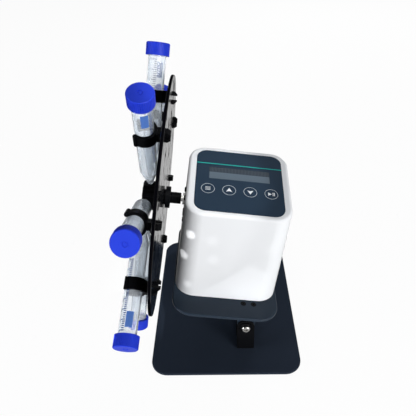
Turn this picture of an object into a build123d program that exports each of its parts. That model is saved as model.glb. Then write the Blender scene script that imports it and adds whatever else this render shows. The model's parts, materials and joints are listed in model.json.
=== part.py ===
from build123d import *
from math import cos, radians, sin, tan
import os

# Tube rotator for laboratory tubes: a weighted base plate carries a bent steel bracket,
# the motor head tilts between the bracket's two ears, and a disc of snap-in clips turns
# on the head's left side. Millimetres and degrees. The assembly stands on Z = 0 with the
# base plate's centre over the origin, the operator's side towards -Y and the disc
# towards -X.

os.makedirs("parts", exist_ok=True)

# ---------------------------------------------------------------- driving dimensions
# Base
plate_width = 168.0
plate_depth = 226.0
plate_thickness = 3.0
plate_corner = 19.0
plate_edge = 0.7
foot_height = 2.0
foot_radius = 7.5
foot_inset = 17.0

# Tilt bracket and its fasteners
bracket_width = 19.0
bracket_steel = 2.5
bracket_bend = 2.5
bracket_front = -82.4
head_centre_y = -21.5
pivot_x = 22.8
pivot_height = 45.3
bracket_screw_radius = 2.0
bracket_screw_pitch = 74.0
bracket_nut_height = 3.2
bracket_nut_flats = 7.0

# Pivot
pivot_screw_radius = 2.5
pivot_head_radius = 4.7
pivot_head_height = 3.0
pivot_washer_radius = 7.2
pivot_washer_thickness = 1.2
lug_thickness = 6.0
lug_screw_shift = -2.0
lug_screw_pitch = 11.0
rest_tilt = 8.3
running_gap = 0.05
side_gap = 0.1

# Tray under the housing, in the head's own frame: origin on the pivot axis
tray_left = -83.5
tray_right = 29.5
tray_front_overhang = 26.0
tray_rear_overhang = 26.0
tray_thickness = 4.0
tray_corner = 22.0
tray_edge = 1.4
tray_top = 31.2

# Housing
housing_left = -82.0
housing_right = 28.0
housing_front = -71.5
housing_back = 28.5
housing_corner = 21.0
housing_top_corner = 18.0
housing_side_draft = 2.6
housing_front_draft = 4.6
housing_loft_height = 129.0
housing_wall = 3.0
housing_rim = 3.6
housing_post_radius = 4.0
housing_post_height = 14.0
housing_post_inset_x = 10.0
housing_post_inset_y = 10.0

# Sloping control panel
panel_x = -26.8
panel_y = -20.8
panel_drop = 12.0
panel_slope = 12.1
panel_width = 89.2
panel_height = 86.2
panel_corner = 11.0
panel_thickness = 1.0
panel_proud = 0.3
panel_fit = 0.15
window_width = 62.0
window_height = 16.6
window_up = 9.6
window_margin = 2.0
module_border = 1.5
key_radius = 6.85
key_gap = 0.15
key_pitch = 21.2
key_up = -13.6
key_flange = 1.0
key_flange_thickness = 0.6
key_travel = 0.5
key_proud = 0.05

# Control board behind the panel
board_depth = 8.0
board_thickness = 1.6
board_width = 84.0
board_height = 78.0
board_pillar_radius = 3.0
board_pillar_inset = 4.0
board_screw_bite = 3.0
board_screw_head = 2.5
tact_size = 6.0
tact_plunger_radius = 1.75

# Driver board on the tray
driver_width = 62.0
driver_depth = 48.0
driver_pillar_height = 5.0
driver_pillar_radius = 2.5
driver_pillar_inset = 4.0
chip_height = 6.0

# Geared motor
shaft_y = -26.1
shaft_drop = 23.8
shaft_radius = 3.0
shaft_flat = 0.5
shaft_offset = 7.0
gearbox_radius = 18.5
gearbox_length = 24.0
gearbox_nose_radius = 6.0
gearbox_nose_length = 6.0
motor_radius = 17.0
motor_length = 31.0
motor_pad_radius = 21.0
motor_face = -79.5
motor_screw_circle = 15.5
motor_screw_count = 6
screw_m3_radius = 1.5
screw_m3_head_radius = 2.75
screw_m3_head_height = 1.9

# Rotor
disc_face = -101.0
disc_radius = 120.2
disc_thickness = 3.0
disc_edge = 0.4
hub_shoulder_radius = 8.0
hub_shoulder = 1.0
hub_flange_radius = 11.1
hub_flange_thickness = 4.8
hub_sleeve_radius = 5.8
hub_sleeve_length = 11.0
hub_stud_radius = 4.0
hub_stud_length = 13.0
hub_shaft_depth = 9.5
hub_fit = 0.03
knob_radius = 15.0
knob_length = 19.0
knob_flutes = 12
knob_flute_radius = 2.6
insert_radius = 6.5
insert_length = 14.0

# Clips and tubes, at eight places round the disc
clip_count = 8
clip_start_angle = 20.9
clip_circle = 98.9
clip_wall = 2.5
clip_band = 11.5
clip_mouth = 104.0
clip_bead_radius = 2.1
clip_neck = 7.0
clip_foot_size = 12.0
clip_foot_thickness = 1.6
prong_width = 5.6
prong_thickness = 3.2
prong_reach = 4.0
prong_barb = 1.1
prong_clearance = 0.1
slot_length = 10.4
tube_height = 14.8
tube_radius = 8.4
tube_wall = 1.1
tube_length = 120.0
tube_cone = 22.0
tube_tip_radius = 2.6
tube_tip_round = 1.8
tube_fit = 0.05
cap_radius = 11.15
cap_height = 11.5
cap_top = 1.6
cap_thread_gap = 0.25
cap_ribs = 48
cap_rib_depth = 0.35
cap_dimple_radius = 2.6
cap_nub_radius = 1.4
cap_dimple_depth = 0.5
cap_end_circle = 148.7

# Back wall fittings
inlet_x = -56.0
inlet_z = 54.0
inlet_body_radius = 4.0
inlet_flange_radius = 5.6
inlet_flange = 1.8
inlet_depth = 13.0
inlet_socket_radius = 2.75
inlet_socket_depth = 9.0
inlet_pin_radius = 1.05
inlet_nut_thickness = 2.0
switch_x = -6.0
switch_z = 56.0
switch_width = 13.0
switch_height = 19.0
switch_flange = 1.0
switch_flange_thickness = 1.8
switch_body_depth = 14.0
rocker_radius = 7.0
rocker_width = 9.8
rocker_gap = 0.2
rocker_pin_radius = 1.0
rocker_pin_length = 0.8
rocker_throw = 9.0
rocker_pivot_depth = 3.0

# ---------------------------------------------------------------- places that follow
plate_bottom = foot_height
plate_top = plate_bottom + plate_thickness
bracket_back = 2 * head_centre_y - bracket_front
tray_bottom = tray_top - tray_thickness
tray_front = housing_front - tray_front_overhang
tray_back = housing_back + tray_rear_overhang
lug_front = bracket_front + bracket_steel + side_gap
lug_middle = lug_front + lug_thickness / 2
housing_mid_x = (housing_left + housing_right) / 2
housing_mid_y = (housing_front + housing_back) / 2
post_left = housing_left + housing_post_inset_x
post_right = housing_right - housing_post_inset_x
post_front = housing_front + housing_post_inset_y
post_back = housing_back - housing_post_inset_y
disc_outer = disc_face - disc_thickness
panel_z = tray_top + housing_loft_height - panel_drop
shaft_z = panel_z - shaft_drop
key_hole_radius = key_radius + key_gap
motor_axis_z = shaft_z - shaft_offset
motor_seat = motor_face + housing_wall
nose_end = motor_seat - gearbox_nose_length

head_place = Location((pivot_x, 0, pivot_height), (0, rest_tilt, 0))
panel_plane = Plane(
    origin=(panel_x, panel_y, panel_z),
    x_dir=(1, 0, 0),
    z_dir=(0, -sin(radians(panel_slope)), cos(radians(panel_slope))),
)
shaft_plane = Plane(origin=(0, shaft_y, shaft_z), x_dir=(0, -1, 0), z_dir=(-1, 0, 0))
motor_plane = Plane(origin=(0, shaft_y, motor_axis_z), x_dir=(0, -1, 0), z_dir=(-1, 0, 0))
rotor_place = head_place * shaft_plane.offset(-disc_outer).location
rotor_place = rotor_place * Location((0, 0, 0), (0, 0, clip_start_angle))
wall_plane = Plane(origin=(0, housing_back, 0), x_dir=(-1, 0, 0), z_dir=(0, 1, 0))


def save(part, name, place=Location()):
    """Label a finished piece, set it in its place and write its STEP file."""
    placed = part.moved(place)
    placed.label = name
    export_step(placed, f"parts/{name}.step")


# ---------------------------------------------------------------- screws
head_rounding = 0.55
socket_share = 0.6


def pan_screw(radius, length, head_radius, head_height):
    """Cross-recess pan head screw: the head stands on Z = 0 and the shank points down."""
    recess = head_radius / 2
    with BuildPart() as screw:
        Cylinder(head_radius, head_height, align=(Align.CENTER, Align.CENTER, Align.MIN))
        fillet(screw.edges().sort_by(Axis.Z)[-1], head_height * head_rounding)
        Cylinder(radius, length, align=(Align.CENTER, Align.CENTER, Align.MAX))
        with BuildSketch(Plane.XY.offset(head_height)):
            Rectangle(2 * recess, recess / 2)
            Rectangle(recess / 2, 2 * recess)
        extrude(amount=-head_height / 2, mode=Mode.SUBTRACT)
    return screw.part


def flat_screw(radius, length):
    """Countersunk screw: the head's flat lies on Z = 0 and the shank points down."""
    head_radius = 2 * radius
    with BuildPart() as screw:
        with Locations((0, 0, -(head_radius - radius) / 2)):
            Cone(radius, head_radius, head_radius - radius)
        Cylinder(radius, length, align=(Align.CENTER, Align.CENTER, Align.MAX))
        with BuildSketch():
            RegularPolygon(radius * socket_share, 6)
        extrude(amount=-radius, mode=Mode.SUBTRACT)
    return screw.part


# ---------------------------------------------------------------- base
def bracket_screw_places():
    """The bracket's two screws, along its web."""
    return GridLocations(0, bracket_screw_pitch, 1, 2)


with BuildPart() as base_plate:
    with BuildSketch(Plane.XY.offset(plate_bottom)):
        RectangleRounded(plate_width, plate_depth, plate_corner)
    extrude(amount=plate_thickness)
    rims = base_plate.faces().filter_by(Axis.Z).edges()
    chamfer(rims, length=plate_edge)
    with Locations(Plane.XY.rotated((180, 0, 0)).offset(-plate_bottom)):
        with Locations((pivot_x, -head_centre_y)):
            with bracket_screw_places():
                CounterSinkHole(bracket_screw_radius + running_gap, 2 * bracket_screw_radius)
save(base_plate.part, "base_plate")

with BuildPart() as rubber_feet:
    with BuildSketch():
        with GridLocations(plate_width - 2 * foot_inset, plate_depth - 2 * foot_inset, 2, 2):
            Circle(foot_radius)
    extrude(amount=foot_height)
    chamfer(rubber_feet.faces().sort_by(Axis.Z)[:4].edges(), length=foot_height / 4)
save(rubber_feet.part, "rubber_feet")

with BuildPart() as tilt_bracket:
    with BuildSketch(Plane.YZ):
        with Locations(((bracket_front + bracket_back) / 2, plate_top)):
            Rectangle(bracket_back - bracket_front, pivot_height + bracket_width,
                      align=(Align.CENTER, Align.MIN))
        corners = vertices().group_by(Axis.Y)[0]
        fillet(corners, bracket_bend + bracket_steel)
        with BuildSketch(mode=Mode.PRIVATE) as inside:
            with Locations(((bracket_front + bracket_back) / 2, plate_top + bracket_steel)):
                Rectangle(bracket_back - bracket_front - 2 * bracket_steel,
                          pivot_height + bracket_width, align=(Align.CENTER, Align.MIN))
            fillet(inside.vertices().group_by(Axis.Y)[0], bracket_bend)
        add(inside.sketch, mode=Mode.SUBTRACT)
    extrude(amount=pivot_x + bracket_width)
    with BuildSketch(Plane.XZ):
        with Locations((pivot_x, pivot_height)):
            Circle(bracket_width / 2)
            Rectangle(bracket_width, pivot_height, align=(Align.CENTER, Align.MAX))
    extrude(amount=plate_depth, both=True, mode=Mode.INTERSECT)
    with BuildSketch(Plane.XZ):
        with Locations((pivot_x, pivot_height)):
            Circle(pivot_screw_radius + running_gap)
    extrude(amount=plate_depth, both=True, mode=Mode.SUBTRACT)
    with Locations((pivot_x, head_centre_y, plate_top + bracket_steel)):
        with bracket_screw_places():
            Hole(bracket_screw_radius + running_gap)
save(tilt_bracket.part, "tilt_bracket")

with BuildPart() as bracket_screws:
    with Locations(Plane.XY.rotated((180, 0, 0)).offset(-plate_bottom)):
        with Locations((pivot_x, -head_centre_y)):
            with bracket_screw_places():
                add(flat_screw(bracket_screw_radius,
                               plate_thickness + bracket_steel + bracket_nut_height))
save(bracket_screws.part, "bracket_screws")

with BuildPart() as bracket_nuts:
    with BuildSketch(Plane.XY.offset(plate_top + bracket_steel)):
        with Locations((pivot_x, head_centre_y)):
            with bracket_screw_places():
                RegularPolygon(bracket_nut_flats / 2, 6, major_radius=False)
                Circle(bracket_screw_radius + hub_fit, mode=Mode.SUBTRACT)
    extrude(amount=bracket_nut_height)
save(bracket_nuts.part, "bracket_nuts")

# ---------------------------------------------------------------- tilt pivots
def lug_screw_places():
    """The two screws that hold a lug under the tray."""
    return GridLocations(lug_screw_pitch, 0, 2, 1)


def pivot_lug(front_face):
    """Block under the tray, threaded for the pivot screw and for two tray screws."""
    with BuildPart() as lug:
        with BuildSketch(Plane.XZ.offset(-front_face)):
            Circle(bracket_width / 2)
            Rectangle(bracket_width, tray_bottom, align=(Align.CENTER, Align.MIN))
            Circle(pivot_screw_radius + hub_fit, mode=Mode.SUBTRACT)
        extrude(amount=-lug_thickness)
        with Locations((lug_screw_shift, front_face + lug_thickness / 2, tray_bottom)):
            with lug_screw_places():
                Hole(screw_m3_radius + hub_fit, depth=2 * tray_thickness)
    return lug.part


lug_faces = {
    "front_pivot_lug": lug_front,
    "rear_pivot_lug": 2 * head_centre_y - lug_front - lug_thickness,
}
for name, face in lug_faces.items():
    save(pivot_lug(face), name, head_place)

pivot_screw_length = pivot_washer_thickness + side_gap + bracket_steel + side_gap + lug_thickness
washer_face = bracket_front - side_gap
pivot_screw_plane = Plane.XZ.offset(-washer_face + pivot_washer_thickness)
across_head = Plane((0, head_centre_y, 0), z_dir=(0, 1, 0))

with BuildPart() as pivot_screws:
    with Locations(pivot_screw_plane):
        add(pan_screw(pivot_screw_radius, pivot_screw_length, pivot_head_radius,
                      pivot_head_height))
    mirror(about=across_head)
save(pivot_screws.part, "pivot_screws", head_place)

with BuildPart() as pivot_washers:
    with BuildSketch(Plane.XZ.offset(-washer_face)):
        Circle(pivot_washer_radius)
        Circle(pivot_screw_radius + running_gap, mode=Mode.SUBTRACT)
    extrude(amount=pivot_washer_thickness)
    mirror(about=across_head)
save(pivot_washers.part, "pivot_washers", head_place)

# ---------------------------------------------------------------- tray
tray_mid_x = (tray_left + tray_right) / 2
tray_mid_y = (tray_front + tray_back) / 2
lug_screw_rows = [
    (lug_screw_shift, row, tray_top) for row in (lug_middle, 2 * head_centre_y - lug_middle)
]


def post_places():
    """The housing's four corner posts."""
    return GridLocations(post_right - post_left, post_back - post_front, 2, 2)


with BuildPart() as lower_tray:
    with BuildSketch(Plane.XY.offset(tray_bottom)):
        with Locations((tray_mid_x, tray_mid_y)):
            RectangleRounded(tray_right - tray_left, tray_back - tray_front, tray_corner)
    extrude(amount=tray_thickness)
    fillet(lower_tray.faces().filter_by(Axis.Z).edges(), tray_edge)
    with Locations(*lug_screw_rows):
        with lug_screw_places():
            CounterSinkHole(screw_m3_radius + running_gap, 2 * screw_m3_radius)
    with Locations(Plane.XY.rotated((180, 0, 0)).offset(-tray_bottom)):
        with Locations((housing_mid_x, -housing_mid_y)):
            with post_places():
                CounterSinkHole(screw_m3_radius + running_gap, 2 * screw_m3_radius)
save(lower_tray.part, "lower_tray", head_place)

with BuildPart() as lug_screws:
    with Locations(*lug_screw_rows):
        with lug_screw_places():
            add(flat_screw(screw_m3_radius, 2.5 * tray_thickness))
save(lug_screws.part, "lug_screws", head_place)

with BuildPart() as housing_screws:
    with Locations(Plane.XY.rotated((180, 0, 0)).offset(-tray_bottom)):
        with Locations((housing_mid_x, -housing_mid_y)):
            with post_places():
                add(flat_screw(screw_m3_radius, 3 * tray_thickness))
save(housing_screws.part, "housing_screws", head_place)

# ---------------------------------------------------------------- housing
def housing_section(height, inset, left, right, front, back, corner):
    """One rounded outline of the housing's drafted walls, drawn in from its outside."""
    with BuildSketch(Plane.XY.offset(height)) as section:
        with Locations(((left + right) / 2, (front + back) / 2)):
            RectangleRounded(right - left - 2 * inset, back - front - 2 * inset, corner - inset)
    return section.sketch


def housing_block(inset, below_panel):
    """Drafted block between the tray and the panel's slope."""
    foot = housing_section(tray_top, inset, housing_left, housing_right, housing_front,
                           housing_back, housing_corner)
    head = housing_section(tray_top + housing_loft_height, inset,
                           housing_left + housing_side_draft, housing_right - housing_side_draft,
                           housing_front + housing_front_draft, housing_back,
                           housing_top_corner)
    with BuildPart() as block:
        add([foot, head])
        loft()
        split(bisect_by=panel_plane.offset(-below_panel), keep=Keep.BOTTOM)
    return block.part


def board_pillar_places():
    """The control board's four pillars."""
    return GridLocations(board_width - 2 * board_pillar_inset,
                         board_height - 2 * board_pillar_inset, 2, 2)


def key_places():
    """The row of four keys."""
    return GridLocations(key_pitch, 0, 4, 1)


def motor_screw_places():
    """The ring of screws through the housing's side into the gearbox."""
    return PolarLocations(motor_screw_circle, motor_screw_count)


cavity = housing_block(housing_wall, panel_proud + housing_wall)

with BuildPart() as housing:
    add(housing_block(0, panel_proud))
    fillet(housing.faces().sort_by(Axis.Z)[-1].edges(), housing_rim)
    add(cavity, mode=Mode.SUBTRACT)
    # Corner posts for the tray screws
    with BuildSketch(Plane.XY.offset(tray_top)):
        with Locations((housing_mid_x, housing_mid_y)):
            with post_places():
                Circle(housing_post_radius)
    extrude(amount=housing_post_height)
    # Pillars for the control board
    with BuildSketch(panel_plane.offset(-board_depth)):
        with board_pillar_places():
            Circle(board_pillar_radius)
    extrude(amount=board_depth - panel_thickness - panel_fit)
    # Flat pad inside and out for the geared motor
    with BuildSketch(motor_plane.offset(-motor_seat)):
        Circle(motor_pad_radius)
    extrude(amount=housing_wall)
    with BuildSketch(motor_plane.offset(-motor_face)):
        Circle(motor_pad_radius)
    extrude(amount=housing_wall, mode=Mode.SUBTRACT)
    with BuildSketch(motor_plane.offset(-motor_seat)):
        with Locations((0, shaft_offset)):
            Circle(gearbox_nose_radius + panel_fit)
        with motor_screw_places():
            Circle(screw_m3_radius + running_gap)
    extrude(amount=housing_wall, mode=Mode.SUBTRACT)
    # Recess, window and key holes of the control panel
    with BuildSketch(panel_plane.offset(-panel_thickness)):
        RectangleRounded(panel_width + 2 * panel_fit, panel_height + 2 * panel_fit, panel_corner)
    extrude(amount=panel_thickness, mode=Mode.SUBTRACT)
    with BuildSketch(panel_plane.offset(-board_depth + panel_thickness)):
        with Locations((0, window_up)):
            Rectangle(window_width + 2 * window_margin, window_height + 2 * window_margin)
        with Locations((0, key_up)):
            with key_places():
                Circle(key_hole_radius + key_gap)
    extrude(amount=board_depth, mode=Mode.SUBTRACT)
    # Screw holes in the posts and pillars
    with BuildSketch(Plane.XY.offset(tray_top)):
        with Locations((housing_mid_x, housing_mid_y)):
            with post_places():
                Circle(screw_m3_radius + hub_fit)
    extrude(amount=housing_post_height, mode=Mode.SUBTRACT)
    with BuildSketch(panel_plane.offset(-board_depth)):
        with board_pillar_places():
            Circle(board_pillar_radius / 2)
    extrude(amount=board_depth - panel_proud - housing_wall, mode=Mode.SUBTRACT)
    # Back wall openings for the power inlet and the switch
    with BuildSketch(wall_plane.offset(-2 * housing_wall)):
        with Locations((-inlet_x, inlet_z)):
            Circle(inlet_body_radius + panel_fit)
        with Locations((-switch_x, switch_z)):
            Rectangle(switch_width + 2 * panel_fit, switch_height + 2 * panel_fit)
    extrude(amount=3 * housing_wall, mode=Mode.SUBTRACT)
save(housing.part, "housing", head_place)

# ---------------------------------------------------------------- control panel
with BuildPart() as control_overlay:
    with BuildSketch(panel_plane.offset(-panel_thickness)):
        RectangleRounded(panel_width, panel_height, panel_corner)
        with Locations((0, window_up)):
            Rectangle(window_width + 2 * panel_fit, window_height + 2 * panel_fit,
                      mode=Mode.SUBTRACT)
        with Locations((0, key_up)):
            with key_places():
                Circle(key_hole_radius, mode=Mode.SUBTRACT)
    extrude(amount=panel_thickness)
save(control_overlay.part, "control_overlay", head_place)

with BuildPart() as lcd_window:
    with BuildSketch(panel_plane.offset(-panel_thickness)):
        with Locations((0, window_up)):
            Rectangle(window_width, window_height)
    extrude(amount=panel_thickness - key_proud)
save(lcd_window.part, "lcd_window", head_place)

with BuildPart() as lcd_module:
    with BuildSketch(panel_plane.offset(-board_depth)):
        with Locations((0, window_up)):
            Rectangle(window_width + 2 * module_border, window_height + 2 * module_border)
    extrude(amount=board_depth - panel_thickness - running_gap)
save(lcd_module.part, "lcd_module", head_place)

key_names = ("key_menu", "key_up_arrow", "key_down_arrow", "key_start")
flange_bottom = panel_proud + housing_wall + key_gap + key_flange_thickness
for place, name in zip(key_places().local_locations, key_names):
    with BuildPart() as key:
        with BuildSketch(panel_plane.offset(-flange_bottom)):
            with Locations((place.position.X, key_up)):
                Circle(key_hole_radius + key_gap + key_flange)
        extrude(amount=key_flange_thickness)
        with BuildSketch(panel_plane.offset(-flange_bottom)):
            with Locations((place.position.X, key_up)):
                Circle(key_radius)
        extrude(amount=flange_bottom + key_proud)
    save(key.part, name, head_place)

# ---------------------------------------------------------------- boards
with BuildPart() as control_board:
    with BuildSketch(panel_plane.offset(-board_depth)):
        RectangleRounded(board_width, board_height, board_pillar_inset / 2)
        with board_pillar_places():
            Circle(board_pillar_radius / 2, mode=Mode.SUBTRACT)
    extrude(amount=-board_thickness)
save(control_board.part, "control_board", head_place)

with BuildPart() as board_screws:
    with Locations(panel_plane.offset(-board_depth - board_thickness)):
        with board_pillar_places():
            with Locations(Location((0, 0, 0), (180, 0, 0))):
                add(pan_screw(board_pillar_radius / 2 - hub_fit,
                              board_thickness + board_screw_bite, board_screw_head,
                              board_thickness))
save(board_screws.part, "board_screws", head_place)

with BuildPart() as tact_switches:
    with BuildSketch(panel_plane.offset(-board_depth)):
        with Locations((0, key_up)):
            with key_places():
                Rectangle(tact_size, tact_size)
    extrude(amount=board_depth - flange_bottom - key_travel - 3 * key_gap)
    with BuildSketch(panel_plane.offset(-board_depth)):
        with Locations((0, key_up)):
            with key_places():
                Circle(tact_plunger_radius)
    extrude(amount=board_depth - flange_bottom - key_travel - key_gap)
save(tact_switches.part, "tact_switches", head_place)

driver_plane = Plane((housing_mid_x, housing_mid_y, tray_top + driver_pillar_height))

with BuildPart() as driver_board:
    with BuildSketch(driver_plane):
        RectangleRounded(driver_width, driver_depth, driver_pillar_inset / 2)
    extrude(amount=board_thickness)
    with BuildSketch(driver_plane.offset(board_thickness)):
        with GridLocations(driver_width / 3, 0, 2, 1):
            Rectangle(driver_width / 5, driver_depth / 3)
    extrude(amount=chip_height)
save(driver_board.part, "driver_board", head_place)

with BuildPart() as driver_pillars:
    with BuildSketch(driver_plane.offset(-driver_pillar_height)):
        with GridLocations(driver_width - 2 * driver_pillar_inset,
                           driver_depth - 2 * driver_pillar_inset, 2, 2):
            Circle(driver_pillar_radius)
    extrude(amount=driver_pillar_height)
save(driver_pillars.part, "driver_pillars", head_place)

# ---------------------------------------------------------------- geared motor
with BuildPart() as gearbox:
    with BuildSketch(motor_plane.offset(-motor_seat)):
        Circle(gearbox_radius)
    extrude(amount=-gearbox_length)
    with BuildSketch(motor_plane.offset(-motor_seat)):
        with Locations((0, shaft_offset)):
            Circle(gearbox_nose_radius)
    extrude(amount=gearbox_nose_length)
    with BuildSketch(motor_plane.offset(-nose_end)):
        with Locations((0, shaft_offset)):
            Circle(shaft_radius + running_gap)
    extrude(amount=-gearbox_length + side_gap, mode=Mode.SUBTRACT)
    with BuildSketch(motor_plane.offset(-motor_seat)):
        with motor_screw_places():
            Circle(screw_m3_radius + hub_fit)
    extrude(amount=-gearbox_length / 3, mode=Mode.SUBTRACT)
save(gearbox.part, "gearbox", head_place)

with BuildPart() as motor_can:
    with BuildSketch(motor_plane.offset(-motor_seat - gearbox_length)):
        Circle(motor_radius)
    extrude(amount=-motor_length)
    fillet(motor_can.faces().sort_by(Axis.X)[-1].edges(), motor_radius / 8)
save(motor_can.part, "motor_can", head_place)

with BuildPart() as motor_screws:
    with Locations(motor_plane.offset(-motor_face)):
        with motor_screw_places():
            add(pan_screw(screw_m3_radius, housing_wall + gearbox_length / 4,
                          screw_m3_head_radius, screw_m3_head_height))
save(motor_screws.part, "motor_screws", head_place)

# ---------------------------------------------------------------- back wall fittings
with BuildPart() as power_inlet:
    with Locations(wall_plane):
        with Locations((-inlet_x, inlet_z)):
            Cylinder(inlet_flange_radius, inlet_flange,
                     align=(Align.CENTER, Align.CENTER, Align.MIN))
            Cylinder(inlet_body_radius, inlet_depth,
                     align=(Align.CENTER, Align.CENTER, Align.MAX))
        with Locations((-inlet_x, inlet_z, inlet_flange)):
            Hole(inlet_socket_radius, depth=inlet_socket_depth)
        with Locations((-inlet_x, inlet_z, inlet_flange - inlet_socket_depth)):
            Cylinder(inlet_pin_radius, inlet_socket_depth - inlet_flange,
                     align=(Align.CENTER, Align.CENTER, Align.MIN))
save(power_inlet.part, "power_inlet", head_place)

with BuildPart() as inlet_nut:
    with BuildSketch(wall_plane.offset(-housing_wall)):
        with Locations((-inlet_x, inlet_z)):
            RegularPolygon(inlet_flange_radius, 6)
            Circle(inlet_body_radius + hub_fit, mode=Mode.SUBTRACT)
    extrude(amount=-inlet_nut_thickness)
save(inlet_nut.part, "inlet_nut", head_place)

rocker_well = rocker_radius + rocker_gap
switch_plane = Plane(origin=(switch_x, housing_back + switch_flange_thickness, switch_z),
                     x_dir=(-1, 0, 0), z_dir=(0, 1, 0))
rocker_pivot = (switch_x, switch_plane.origin.Y - rocker_pivot_depth, switch_z)
rocker_plane = Plane(
    origin=rocker_pivot,
    x_dir=(0, -sin(radians(rocker_throw)), cos(radians(rocker_throw))),
    z_dir=(-1, 0, 0),
)

with BuildPart() as switch_frame:
    with BuildSketch(switch_plane):
        RectangleRounded(switch_width + 2 * switch_flange, switch_height + 2 * switch_flange,
                         switch_flange)
    extrude(amount=-switch_flange_thickness)
    with BuildSketch(switch_plane.offset(-switch_flange_thickness)):
        Rectangle(switch_width, switch_height)
    extrude(amount=-switch_body_depth)
    with BuildSketch(switch_plane):
        Rectangle(rocker_width + 2 * rocker_gap, 2 * rocker_well)
    extrude(amount=-rocker_pivot_depth - rocker_well, mode=Mode.SUBTRACT)
    with BuildSketch(rocker_plane):
        Circle(rocker_pin_radius + running_gap)
    extrude(amount=rocker_width / 2 + rocker_pin_length + rocker_gap, both=True,
            mode=Mode.SUBTRACT)
save(switch_frame.part, "switch_frame", head_place)

rocker_rise = 2 * rocker_radius * tan(radians(rocker_throw))
with BuildPart() as switch_rocker:
    with BuildSketch(rocker_plane):
        Circle(rocker_radius)
        with BuildLine():
            Polyline(
                (0, rocker_pivot_depth),
                (2 * rocker_radius, rocker_pivot_depth + rocker_rise),
                (2 * rocker_radius, 2 * rocker_radius),
                (-2 * rocker_radius, 2 * rocker_radius),
                (-2 * rocker_radius, rocker_pivot_depth + rocker_rise),
                close=True,
            )
        make_face(mode=Mode.SUBTRACT)
        with Locations((0, -rocker_pivot_depth)):
            Rectangle(2 * rocker_radius, rocker_radius, align=(Align.CENTER, Align.MAX),
                      mode=Mode.SUBTRACT)
    extrude(amount=rocker_width / 2, both=True)
    with BuildSketch(rocker_plane):
        Circle(rocker_pin_radius)
    extrude(amount=rocker_width / 2 + rocker_pin_length, both=True)
save(switch_rocker.part, "switch_rocker", head_place)

# ---------------------------------------------------------------- rotor
# Rotor frame: Z runs out along the shaft, away from the housing, from the disc's outer face.
hub_top = -disc_thickness
flange_top = hub_top - hub_shoulder
flange_back = flange_top - hub_flange_thickness
sleeve_back = flange_back - hub_sleeve_length
shaft_tip = sleeve_back + hub_shaft_depth
shaft_root = disc_outer - motor_seat - gearbox_length / 2

with BuildPart() as output_shaft:
    with BuildSketch(Plane.XY.offset(shaft_root)):
        Circle(shaft_radius)
    extrude(amount=shaft_tip - shaft_root)
    with BuildSketch(Plane.XY.offset(shaft_tip)):
        with Locations((0, shaft_radius - shaft_flat)):
            Rectangle(2 * shaft_radius, shaft_radius, align=(Align.CENTER, Align.MIN))
    extrude(amount=-hub_shaft_depth, mode=Mode.SUBTRACT)
save(output_shaft.part, "output_shaft", rotor_place)

with BuildPart() as shaft_hub:
    with BuildSketch(Plane.XY.offset(sleeve_back)):
        Circle(hub_sleeve_radius)
    extrude(amount=hub_sleeve_length)
    chamfer(shaft_hub.edges().sort_by(Axis.Z)[0], length=hub_sleeve_radius / 12)
    with BuildSketch(Plane.XY.offset(flange_back)):
        Circle(hub_flange_radius)
    extrude(amount=hub_flange_thickness)
    with BuildSketch(Plane.XY.offset(flange_top)):
        Circle(hub_shoulder_radius)
    extrude(amount=hub_shoulder)
    with BuildSketch(Plane.XY.offset(hub_top)):
        Circle(hub_stud_radius)
    extrude(amount=disc_thickness + hub_stud_length)
    with BuildSketch(Plane.XY.offset(sleeve_back)):
        Circle(shaft_radius + hub_fit)
    extrude(amount=hub_shaft_depth + side_gap, mode=Mode.SUBTRACT)
    with BuildSketch(Plane.XZ):
        with Locations((0, (sleeve_back + flange_back) / 2)):
            Circle(screw_m3_radius + hub_fit)
    extrude(amount=-hub_sleeve_radius, mode=Mode.SUBTRACT)
save(shaft_hub.part, "shaft_hub", rotor_place)

grub_length = hub_sleeve_radius - shaft_radius + shaft_flat - 2 * hub_fit
with BuildPart() as hub_grub_screw:
    with BuildSketch(Plane.XZ.offset(-hub_sleeve_radius)):
        with Locations((0, (sleeve_back + flange_back) / 2)):
            Circle(screw_m3_radius)
    extrude(amount=grub_length)
    with BuildSketch(Plane.XZ.offset(-hub_sleeve_radius)):
        with Locations((0, (sleeve_back + flange_back) / 2)):
            RegularPolygon(screw_m3_radius / 2, 6)
    extrude(amount=grub_length / 2, mode=Mode.SUBTRACT)
save(hub_grub_screw.part, "hub_grub_screw", rotor_place)

with BuildPart() as rotor_disc:
    with BuildSketch(Plane.XY.offset(-disc_thickness)):
        Circle(disc_radius)
    extrude(amount=disc_thickness)
    chamfer(rotor_disc.edges(), length=disc_edge)
    with BuildSketch(Plane.XY.offset(-disc_thickness)):
        Circle(hub_stud_radius + hub_fit)
        with PolarLocations(clip_circle, clip_count):
            Rectangle(slot_length, prong_width + 2 * prong_clearance)
    extrude(amount=disc_thickness, mode=Mode.SUBTRACT)
save(rotor_disc.part, "rotor_disc", rotor_place)

with BuildPart() as clamp_knob:
    with BuildSketch():
        Circle(knob_radius)
        with PolarLocations(knob_radius + knob_flute_radius / 2, knob_flutes):
            Circle(knob_flute_radius, mode=Mode.SUBTRACT)
    extrude(amount=knob_length)
    chamfer(clamp_knob.faces().sort_by(Axis.Z)[-1].edges(), length=knob_length / 20)
    with BuildSketch():
        Circle(insert_radius + hub_fit)
    extrude(amount=insert_length, mode=Mode.SUBTRACT)
save(clamp_knob.part, "clamp_knob", rotor_place)

with BuildPart() as knob_insert:
    with BuildSketch():
        Circle(insert_radius)
        Circle(hub_stud_radius + hub_fit, mode=Mode.SUBTRACT)
    extrude(amount=insert_length)
save(knob_insert.part, "knob_insert", rotor_place)

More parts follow.
